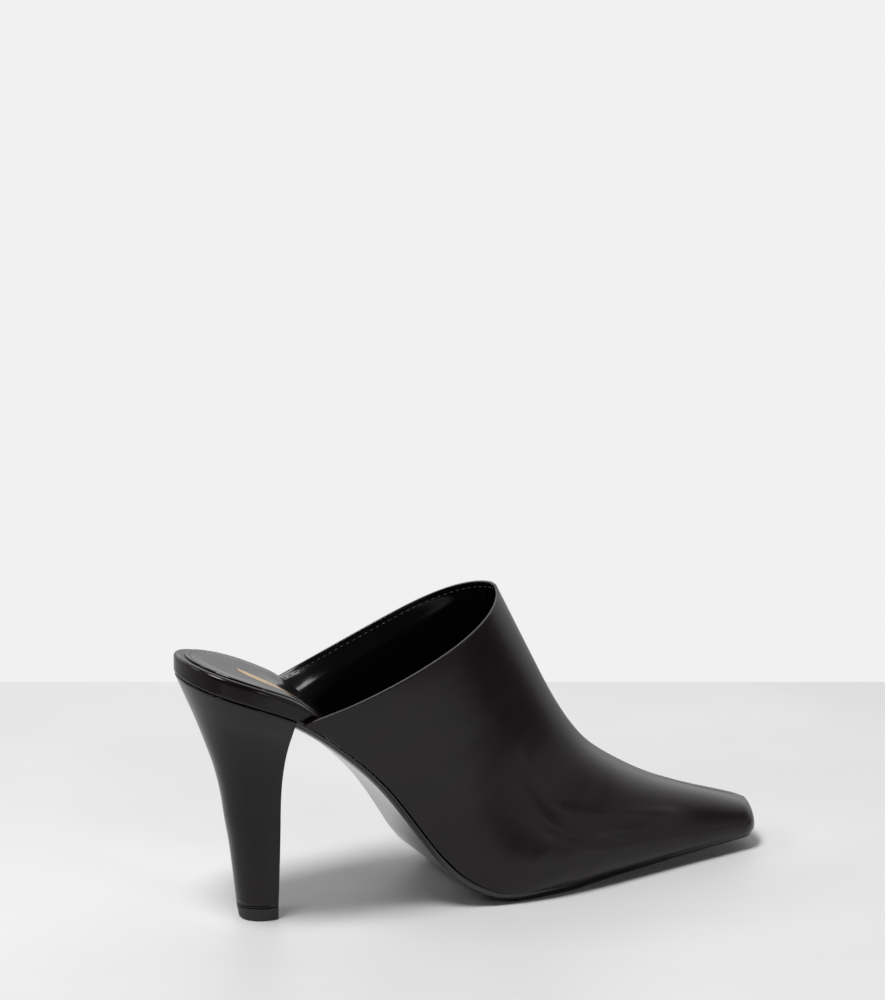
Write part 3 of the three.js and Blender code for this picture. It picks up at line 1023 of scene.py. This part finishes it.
@dataclass
class Slab:
    """A slab that follows the foot line: board, sock or outsole."""

    start: float = 0.0
    toe: float = LAST.length
    seat_end: bool = True
    columns: int = 30
    step: float = 1.3

    def grow(self, x: float) -> float:
        """How far the outline lies outside the foot outline at x."""
        return 0.0

    def half(self, x: float, side: Side, inset: float) -> float:
        """Unsigned half width of the outline at x, less an inset."""
        reach = abs(LAST.edge(x, side, self.grow(x) - inset, self.toe - inset))
        return max(reach, LAST.end_flat)

    def moved(self, x: float, inset: float) -> float:
        """Station that keeps its place round the ends when the outline is inset.

        Args:
            x: Station on the outline itself.
            inset: How far the outline is moved inwards.

        Returns:
            The station on the inset outline.
        """
        reach = LAST.seat_round - self.start
        if self.seat_end and x < LAST.seat_round:
            x += inset * (LAST.seat_round - x) / reach
        front = self.toe - LAST.toe_round
        if x > front:
            x -= inset * (x - front) / LAST.toe_round
        return x

    def point(self, layer: Layer, x: float, share: float) -> Vector:
        """Point of a layer.

        Args:
            layer: The layer.
            x: Station on the slab's outline.
            share: Share across, from -1 to 1.

        Returns:
            The point in metres.
        """
        inset = layer.inset(x)
        at, side = self.moved(x, inset), Side.of(share)
        y = abs(share) * side.value * self.half(at, side, inset)
        return LAST.place(at, y, layer.height(at, share))

    def stations(self) -> list[float]:
        """Stations of the slab's rows."""
        rear = LAST.seat_round - self.start if self.seat_end else 0.0
        return arc_stations(self.start, self.toe, rear, LAST.toe_round, self.step)

    def slab(self, layers: Sequence[Layer]) -> bmesh.types.BMesh:
        """Slab whose top grid is extruded down ring by ring.

        Args:
            layers: The rings from the top down.

        Returns:
            The new mesh.
        """
        stations = self.stations()

        def share(column: int) -> float:
            """Share across, drawn together towards the edges."""
            return math.sin((column / self.columns - 0.5) * math.pi)

        bm = mapped_grid(
            len(stations) - 1, self.columns, lambda i, j: Vector((stations[i], share(j), 0.0)),
        )
        spot = bm.verts.layers.float_vector.new("spot")
        for v in bm.verts:
            v[spot] = v.co.copy()
            v.co = self.point(layers[0], v.co.x, v.co.y)
        skin = [*bm.faces, *bm.edges, *bm.verts]
        for number, layer in enumerate(layers[1:]):
            skin = bmesh.ops.extrude_face_region(bm, geom=skin, use_keep_orig=number == 0)["geom"]
            for v in (g for g in skin if isinstance(g, bmesh.types.BMVert)):
                v.co = self.point(layer, v[spot].x, v[spot].y)
        return bm

    def piece(
        self, layers: Sequence[Layer], name: str, slot: str, finish: Finish, node: str,
    ) -> bpy.types.Object:
        """The slab of some layers as a dressed piece that stands for a CAD node."""
        return dress(finish_mesh(self.slab(layers), name), slot, (finish,), node)


BOARD_DEPTH = LAST.curve("board")


@dataclass
class Board(Slab):
    """Wrapped insole board; its edge shows as a band round the seat."""

    toe: float = LAST.length - LAST.upper_room - LAST.wall - 1.6
    cup: float = 0.45
    top_round: float = 2.0
    bottom_round: float = 0.8
    arch: Table = Table(
        ("x", "lift"),
        (
            (20, 0.0), (36, 0.9), (42, 2.0), (49, 3.6), (58, 4.2),
            (72, 3.0), (88, 1.0), (102, 0.0), (238, 0.0),
        ),
    )
    arch_from: float = -0.15
    side_rings: tuple[float, ...] = (0.08, 0.3, 0.6, 0.9, 1.0)

    def top(self, x: float, share: float) -> float:
        """Height of the board's dished top, which rises towards the arch on the inner side.

        Args:
            x: Distance from the rear of the seat.
            share: Share across, from -1 to 1.

        Returns:
            The height in millimetres.
        """
        rear = clamp01(1 - x / LAST.seat_round)
        front = clamp01(1 - (self.toe - x) / LAST.toe_round)
        middle = self.cup * max(rear, front) ** 2
        arch = ARCH_LIFT(x) * smooth((share - self.arch_from) / (1 - self.arch_from))
        return LAST.level(x) + BOARD_DEPTH(x) + middle + (self.cup - middle) * share * share + arch

    def corner(self, x: float, share: float, drop: float) -> float:
        """Height of the rounding under the top, a drop below it that shrinks with the board."""
        return self.top(x, share) - self.scaled(x, drop)

    def build(self) -> bpy.types.Object:
        """Builds the board."""
        layers = [
            Layer(
                lambda x, d=inset: self.scaled(x, d),
                lambda x, share, z=drop: self.corner(x, share, z),
            )
            for inset, drop in quarter(self.top_round, 7)
        ]
        layers += [
            Layer(
                lambda x: 0.0,
                lambda x, share, t=t: mix(
                    self.corner(x, share, self.top_round), LAST.level(x) + self.bottom_round, t,
                ),
            )
            for t in self.side_rings
        ]
        layers += [
            Layer(lambda x, d=inset: d, lambda x, share, z=drop: LAST.level(x) + z)
            for inset, drop in quarter(self.bottom_round, 4)[::-1][1:]
        ]
        return self.piece(layers, "wrapped_board", "board_leather", Finish.HEEL, "insole_board")

    def scaled(self, x: float, value: float) -> float:
        """A rounding that shrinks where the board grows thin."""
        return value * BOARD_DEPTH(x) / BOARD_DEPTH(0.0)


ARCH_LIFT = Board.arch.column("lift")


@dataclass(frozen=True)
class Oval:
    """An oval on the seat: centre and half sizes in millimetres on the last."""

    x: float
    y: float
    half_x: float
    half_y: float

    def at(self, angle: float) -> tuple[float, float]:
        """Point of the oval at an angle."""
        return self.x + self.half_x * math.cos(angle), self.y + self.half_y * math.sin(angle)


@dataclass
class Sock(Slab):
    """Lining sock on the board, with its edge stitches and plain foil mark.

    The foil lies between two ovals, over mark_angles in degrees round them.
    """

    start: float = 4.0
    toe: float = LAST.length - LAST.upper_room - LAST.wall - 4.1
    columns: int = 60
    step: float = 0.9
    front_inset: float = 2.2
    thickness: float = 0.75
    edge_round: float = 0.6
    seat_gap: float = 0.04
    channel_room: float = 2.0
    channel_half: float = 0.45
    channel_depth: float = 0.22
    pad: float = 0.35
    pad_run: float = 5.0
    inset_from: float = 5.0
    inset_run: float = 20.0
    deepest: float = 8.0
    halvings: int = 9
    stitch: Stitch = Stitch(2.7, 1.9, 0.2)
    stitch_end: float = 76.0
    mark_outer: Oval = Oval(43.0, -1.5, 20.0, 15.8)
    mark_inner: Oval = Oval(46.5, 5.5, 20.0, 15.0)
    mark_angles: tuple[float, float] = (172.0, 268.0)
    mark_columns: int = 120
    mark_rows: int = 6
    mark_taper: float = 0.6
    mark_lift: float = 0.06
    board: Board = field(default_factory=Board)

    def grow(self, x: float) -> float:
        """The sock lies further inside the board at the rear of the seat than beside it."""
        share = smooth((x - self.inset_from) / self.inset_run)
        return -mix(self.start, self.front_inset, share)

    def floor(self, x: float, share: float) -> float:
        """Height of the sock's lower face, which lies on the board.

        Args:
            x: Distance from the rear of the seat.
            share: Share across the sock, from -1 to 1.

        Returns:
            The height in millimetres.
        """
        side = Side.of(share)
        spread = self.half(x, side, 0.0) / self.board.half(x, side, 0.0)
        return self.board.top(x, share * min(spread, 1.0)) + self.seat_gap

    def depth_in(self, x: float, y: float) -> float:
        """How far a point lies inside the sock's edge, found by halving.

        Args:
            x: Distance from the rear of the seat.
            y: The point's signed y on the last.

        Returns:
            The depth in millimetres, up to the deepest that is looked for.
        """
        low, high = 0.0, self.deepest
        side = Side.of(y)
        for _ in range(self.halvings):
            middle = (low + high) / 2
            inside = abs(LAST.edge(x, side, self.grow(x) - middle, self.toe - middle)) > abs(y)
            low, high = (middle, high) if inside else (low, middle)
        return (low + high) / 2

    def relief(self, x: float, share: float) -> float:
        """Height that the stitched channel and the padding add to the top.

        Args:
            x: Distance from the rear of the seat.
            share: Share across the sock, from -1 to 1.

        Returns:
            The height in millimetres, below 0 in the channel.
        """
        side = Side.of(share)
        deep = self.depth_in(x, share * self.half(x, side, 0.0))
        channel = math.exp(-(((deep - self.channel_room) / self.channel_half) ** 2))
        pad = self.pad * smooth((deep - self.channel_room) / self.pad_run)
        return pad - self.channel_depth * channel

    def build(self) -> bpy.types.Object:
        """Builds the sock, its stitches and its foil mark.

        Returns:
            The sock.
        """

        def height(x: float, share: float, drop: float) -> float:
            """Height of a ring a drop below the top, whose own ring carries the relief."""
            relief = 0.0 if drop else self.relief(x, share)
            return self.floor(x, share) + self.thickness - drop + relief

        layers = [
            Layer(lambda x, d=inset: d, lambda x, share, z=drop: height(x, share, z))
            for inset, drop in quarter(self.edge_round, 4)
        ]
        layers.append(Layer(lambda x: 0.0, lambda x, share: self.floor(x, share)))
        dress(self.edge_stitches(), "sock_leather", (Finish.THREAD,))
        dress(self.foil_mark(), "sock_leather", (Finish.FOIL,))
        return self.piece(layers, "sock_lining", "sock_leather", Finish.SOCK, "sock")

    def surface(self, x: float, y: float) -> Vector:
        """Point of the sock's top.

        Args:
            x: Distance from the rear of the seat.
            y: Signed y on the last.

        Returns:
            The point in metres.
        """
        side = Side.of(y)
        share = clamp01(abs(y) / self.half(x, side, 0.0)) * side.value
        return LAST.place(x, y, self.floor(x, share) + self.thickness + self.relief(x, share))

    def edge_stitches(self) -> bpy.types.Object:
        """Stitches in the channel inside the sock's edge.

        Returns:
            The stitches, not dressed yet.
        """
        inset = self.channel_room
        rows = [self.moved(x, inset) for x in self.stations() if x < self.stitch_end]
        path = []
        for side, order in ((Side.LATERAL, rows[::-1]), (Side.MEDIAL, rows[1:])):
            path += [self.surface(x, side.value * self.half(x, side, inset)) for x in order]
        normals = [Vector((0.2, 0.0, 1.0)).normalized()] * len(path)
        return sew("sock_stitches", path, normals, self.stitch)

    def foil_mark(self) -> bpy.types.Object:
        """Plain foil crescent pressed on the outer side of the seat.

        Returns:
            The crescent, not dressed yet.
        """
        turns, across = self.mark_columns, self.mark_rows
        lift = Vector((0.0, 0.0, self.mark_lift * MM))

        def point(row: int, column: int) -> Vector:
            """Point of the crescent.

            Args:
                row: Number of the row across it.
                column: Number of the column along it.

            Returns:
                The point in metres.
            """
            angle = math.radians(mix(*self.mark_angles, column / turns))
            a, b = self.mark_outer.at(angle), self.mark_inner.at(angle)
            t = row / across * max(math.sin(math.pi * column / turns), 0.01) ** self.mark_taper
            return self.surface(mix(a[0], b[0], t), mix(a[1], b[1], t)) + lift

        obj = finish_mesh(mapped_grid(across, turns, point), "foil_mark")
        if sum(f.normal.z for f in obj.data.polygons) < 0:
            obj.data.flip_normals()
        return obj


@dataclass
class Outsole(Slab):
    """Thin sole, bevelled in the waist and flat under the ball."""

    start: float = 36.6
    toe: float = LAST.length - LAST.gap
    seat_end: bool = False
    steps: int = 8
    edge_round: float = 0.35
    shape: Table = Table(
        ("x", "inset", "bevel"),
        (
            (35, 4.0, 3.5), (50, 2.6, 4.5), (68, 1.6, 5.0), (84, 0.9, 4.2),
            (98, 0.2, 2.6), (120, -0.6, 1.2), (140, -0.8, 0.9), (165, -0.4, 0.7),
            (198, -0.4, 0.6), (238, -0.4, 0.6),
        ),
    )

    def __post_init__(self) -> None:
        """Prepares the curves of the table."""
        self.inset_at = self.shape.column("inset")
        self.bevel_at = self.shape.column("bevel")

    def grow(self, x: float) -> float:
        """How far the outline lies outside the foot outline at x."""
        return -self.inset_at(x)

    def top(self, x: float) -> float:
        """Height of the sole's upper face."""
        return LAST.level(x) - LAST.fit_drop(x)

    def build(self) -> bpy.types.Object:
        """Builds the outsole."""
        layers = [
            Layer(lambda x, d=inset: d, lambda x, share, z=drop: self.top(x) - z)
            for inset, drop in quarter(self.edge_round, 3)
        ]
        layers += [
            Layer(
                lambda x, t=t: self.bevel_at(x) * (1 - t) ** 2,
                lambda x, share, t=t: mix(RISE(x), self.top(x) - self.edge_round, t),
            )
            for t in (1 - (i + 1) / self.steps for i in range(self.steps))
        ]
        return self.piece(layers, "outsole_leather", "sole_leather", Finish.SOLE, "outsole")


# Heel


@dataclass
class Heel:
    """Covered heel and its rubber top piece.

    The foot rings are pairs of height and inset: a rounded edge, then a fine groove.
    """

    breast: float = 36.3
    corner: float = 1.6
    corner_steps: int = 5
    foot_rings: tuple[tuple[float, float], ...] = (
        (0.0, 0.3), (0.12, 0.1), (0.3, 0.0), (0.8, 0.0),
        (0.88, 0.1), (1.0, 0.16), (1.12, 0.1), (1.2, 0.0),
    )
    tip_height: float = 5.0
    tip_taper: float = 1.0
    tip_side_share: float = 0.35
    tip_floor_round: float = 0.4
    tip_top_round: float = 0.25
    tip_rings: tuple[float, float] = (0.3, 0.6)
    top_round: float = 0.7
    levels: int = 70
    arc: int = 84
    shape: Table = Table(
        ("share", "half", "length"),
        (
            (0.0, 8.4, 13.5), (0.18, 9.5, 15.2), (0.29, 10.1, 16.4), (0.4, 10.6, 18.1),
            (0.51, 11.0, 19.6), (0.62, 12.0, 21.9), (0.73, 14.4, 25.4), (0.84, 18.2, 29.4),
            (0.93, 22.6, 33.2), (1.0, 26.0, 36.2),
        ),
    )

    def outline(self, half: float, length: float) -> list[tuple[float, float]]:
        """Outline at one height: breast corners, then round the back.

        Args:
            half: Half width.
            length: Length from the breast to the back.

        Returns:
            Points x, y on the last.
        """
        straight = length * (1 - LAST.seat_round / self.breast)
        centre, reach = self.breast - straight, length - straight
        r, steps = self.corner, self.corner_steps
        turns = [math.pi / 2 * i / steps for i in range(steps + 1)]
        points = [(self.breast - r + r * math.cos(a), -half + r - r * math.sin(a)) for a in turns]
        for i in range(self.arc + 1):
            a = -math.pi / 2 + math.pi * i / self.arc
            cos = max(math.cos(a), 0.0) ** (2 / LAST.seat_power)
            sin = math.copysign(abs(math.sin(a)) ** (2 / LAST.seat_power), a)
            points.append((centre - reach * cos, half * sin))
        return points + [(x, -y) for x, y in points[steps::-1]]

    def stack(self, rings: list[list[Vector]]) -> bmesh.types.BMesh:
        """Solid through a run of rings, from a circle extruded ring by ring.

        Args:
            rings: The rings from the bottom up.

        Returns:
            The new mesh.
        """
        bm = bmesh.new()
        count = len(rings[0])
        bmesh.ops.create_circle(bm, cap_ends=True, segments=count, radius=1.0)
        bm.verts.ensure_lookup_table()
        number = bm.verts.layers.int.new("number")
        for i, v in enumerate(bm.verts):
            v[number] = i
            v.co = rings[0][i]
        cap = [*bm.faces, *bm.edges, *bm.verts]
        for n, ring in enumerate(rings[1:]):
            cap = bmesh.ops.extrude_face_region(bm, geom=cap, use_keep_orig=n == 0)["geom"]
            for v in (g for g in cap if isinstance(g, bmesh.types.BMVert)):
                v.co = ring[v[number]]
        bmesh.ops.triangulate(bm, faces=[f for f in bm.faces if len(f.verts) > 4])
        bmesh.ops.recalc_face_normals(bm, faces=bm.faces)
        return bm

    def build(self) -> bpy.types.Object:
        """Builds the covered heel.

        Returns:
            The heel.
        """
        half, length = self.shape.column("half", "share"), self.shape.column("length", "share")
        foot = self.tip_height + LAST.gap
        tall = LAST.level(self.breast) - foot
        rings = [(z / tall, inset) for z, inset in self.foot_rings]
        low, high = rings[-1][0], 1 - self.top_round / tall
        rings += [(mix(low, high, i / self.levels), 0.0) for i in range(1, self.levels + 1)]
        rings += [(1 - drop / tall, inset) for inset, drop in quarter(self.top_round, 5)[-2::-1]]
        bm = self.stack([
            [
                LAST.place(x, y, mix(foot, LAST.level(x) - LAST.fit_drop(x), t))
                for x, y in self.outline(half(t) - inset, length(t) - inset)
            ]
            for t, inset in rings
        ])
        return dress(finish_mesh(bm, "covered_heel"), "heel_leather", (Finish.HEEL,), "heel")

    def build_tip(self) -> bpy.types.Object:
        """Builds the rubber top piece.

        Returns:
            The top piece.
        """
        _, half, length = self.shape.rows[0]
        tall = self.tip_height
        rings = [(drop, inset) for inset, drop in quarter(self.tip_floor_round, 4)]
        rings += [(tall * t, 0.0) for t in self.tip_rings]
        rings += [(tall - drop, inset) for inset, drop in quarter(self.tip_top_round, 3)[::-1]]
        bm = self.stack([
            [
                LAST.place(x, y, z)
                for x, y in self.outline(
                    half - inset - self.tip_taper * self.tip_side_share * (1 - z / tall),
                    length - inset - self.tip_taper * (1 - z / tall),
                )
            ]
            for z, inset in rings
        ])
        return dress(finish_mesh(bm, "top_piece"), "tip_rubber", (Finish.TIP,), "heel_tip")


# Studio


@dataclass(frozen=True)
class SoftLight:
    """A square light: name, place as the camera looks, width in metres and watts."""

    name: str
    place: Point
    width: float
    power: float


@dataclass(frozen=True)
class Glow:
    """A part of the surround: its direction as the camera looks, and the cosines at 0 and 1."""

    towards: Point
    low: float
    high: float


UP = (0.0, 0.0, 1.0)


@dataclass
class Studio:
    """Pale floor, soft lights and the camera at the photograph's angle."""

    eye: Point = (-1.2210, -2.5743, 1.0504)
    pitch: float = 72.481
    heading: float = -25.2
    lens: float = 286.2
    sensor: float = 36.0
    clip_end: float = 50.0
    floor_back: float = 0.231
    floor_front: float = 0.33
    floor_side: float = 0.235
    floor_dark: Point = (0.79, 0.79, 0.795)
    floor_light: Point = (0.85, 0.85, 0.86)
    floor_rough: float = 0.5
    floor_specular: float = 0.3
    floor_clouds: float = 6.0
    wall: Point = (0.878, 0.878, 0.878)
    back_light: float = 1.35
    left_light: float = 0.25
    right_light: float = 0.30
    low_light: float = 0.24
    fill_light: float = 0.05
    floor_shade: float = 0.85
    back: Glow = Glow((1.0, 0.0, 0.25), 0.25, 0.95)
    back_rise: Glow = Glow(UP, -0.05, 0.35)
    back_base: float = 0.15
    left: Glow = Glow((0.2, -1.0, 0.2), 0.45, 1.0)
    right: Glow = Glow((0.1, 1.0, 0.1), 0.4, 0.9)
    right_rise: Glow = Glow(UP, -0.2, 0.0)
    overhead: Glow = Glow(UP, 0.2, 0.8)
    near: Glow = Glow((-1.0, 0.0, 0.0), 0.58, 0.72)
    near_rise: Glow = Glow(UP, -0.08, 0.08)
    dim_side: Glow = Glow((0.15, 1.0, -0.25), 0.9, 0.97)
    dim_share: float = 0.8
    aim: Point = (0.0, 0.0, 0.05)
    lights: tuple[SoftLight, ...] = (
        SoftLight("left_soft", (0.0, -1.9, 1.6), 0.7, 7.0),
        SoftLight("top_soft", (-0.55, -0.45, 2.0), 0.6, 35.0),
        SoftLight("lining_soft", (-1.41, 1.46, 0.86), 0.36, 3.0),
    )

    def along(self, forward: float, right: float, up: float) -> Vector:
        """Point or direction in the frame, given as the camera looks at the shoe.

        Args:
            forward: Away from the camera, level, in metres.
            right: To the camera's right.
            up: Upwards.

        Returns:
            The point.
        """
        a = math.radians(-self.heading)
        ahead = Vector((math.sin(a), math.cos(a), 0.0))
        side = Vector((math.cos(a), -math.sin(a), 0.0))
        return ahead * forward + side * right + Vector((0.0, 0.0, up))

    def camera(self) -> None:
        """Places the camera."""
        data = bpy.data.cameras.new("camera")
        data.lens = self.lens
        data.sensor_width = self.sensor
        data.clip_end = self.clip_end
        cam = bpy.data.objects.new("camera", data)
        cam.location = self.eye
        cam.rotation_euler = (math.radians(self.pitch), 0.0, math.radians(self.heading))
        bpy.context.scene.collection.objects.link(cam)
        bpy.context.scene.camera = cam

    def floor(self) -> None:
        """Lays the floor, whose far edge shows behind the shoe."""
        ends, sides = (-self.floor_front, self.floor_back), (-self.floor_side, self.floor_side)
        bm = mapped_grid(1, 1, lambda row, column: self.along(ends[row], sides[column], 0.0))
        obj = finish_mesh(bm, "floor")
        tree = Tree.material("pale_floor")
        cloud = tree.noise(tree.object_place(), self.floor_clouds, 3.0)
        obj.data.materials.append(tree.shaded({
            "Base Color": tree.blend(cloud.ramp(*MOTTLE), self.floor_dark, self.floor_light),
            "Roughness": self.floor_rough,
            "Specular IOR Level": self.floor_specular,
        }))

    def light(self, soft: SoftLight) -> None:
        """Places a soft light that faces the shoe.

        Args:
            soft: The light.
        """
        data = bpy.data.lights.new(soft.name, "AREA")
        data.shape = "RECTANGLE"
        data.size = data.size_y = soft.width
        data.energy = soft.power
        obj = bpy.data.objects.new(soft.name, data)
        obj.location = where = self.along(*soft.place)
        obj.rotation_euler = (Vector(self.aim) - where).to_track_quat("-Z", "Y").to_euler()
        bpy.context.scene.collection.objects.link(obj)

    def world(self) -> None:
        """Pale plain surround to the camera, and soft uneven studio light to the shoe."""
        world = bpy.data.worlds.new("surround")
        bpy.context.scene.world = world
        tree = Tree(world)
        look = tree.add("ShaderNodeTexCoord")("Generated")

        def share(part: Glow) -> Socket:
            """How far a ray goes into a part of the surround, from 0 to 1.

            Args:
                part: The part.

            Returns:
                The share.
            """
            ends = {0: look, 1: self.along(*part.towards).normalized()}
            dot = tree.add("ShaderNodeVectorMath", {"operation": "DOT_PRODUCT"}, ends)("Value")
            return dot.ramp(part.low, part.high)

        back = share(self.back) * (share(self.back_rise) * (1 - self.back_base) + self.back_base)
        low = (1 - share(self.overhead)) * (1 - share(self.near) * share(self.near_rise))
        low = low * (1 - share(self.dim_side) * self.dim_share)
        right = share(self.right) * share(self.right_rise) * self.right_light
        level = back * self.back_light + share(self.left) * self.left_light
        level = level + low * (right + self.low_light) + self.fill_light
        path = tree.add("ShaderNodeLightPath")
        level = level * (1 - path("Is Diffuse Ray") * self.floor_shade)
        white = (1.0, 1.0, 1.0, 1.0)
        glow = tree.add("ShaderNodeBackground", {}, {"Color": white, "Strength": level})
        shown = tree.add("ShaderNodeBackground", {}, {"Color": (*self.wall, 1.0), "Strength": 1.0})
        both = tree.add(
            "ShaderNodeMixShader", {},
            {0: path("Is Camera Ray"), 1: glow("Background"), 2: shown("Background")},
        )
        tree.add("ShaderNodeOutputWorld", {}, {"Surface": both("Shader")})

    def build(self) -> None:
        """Sets up the whole studio."""
        bpy.context.scene.view_settings.view_transform = "Standard"
        self.camera()
        self.floor()
        self.world()
        for soft in self.lights:
            self.light(soft)


def main() -> None:
    """Builds the shoe piece by piece, then the studio."""
    logging.basicConfig(level=logging.INFO, format="%(name)s %(message)s")
    Upper().build()
    Board().build()
    Sock().build()
    Outsole().build()
    heel = Heel()
    heel.build()
    heel.build_tip()
    Studio().build()


if __name__ == "__main__":
    main()
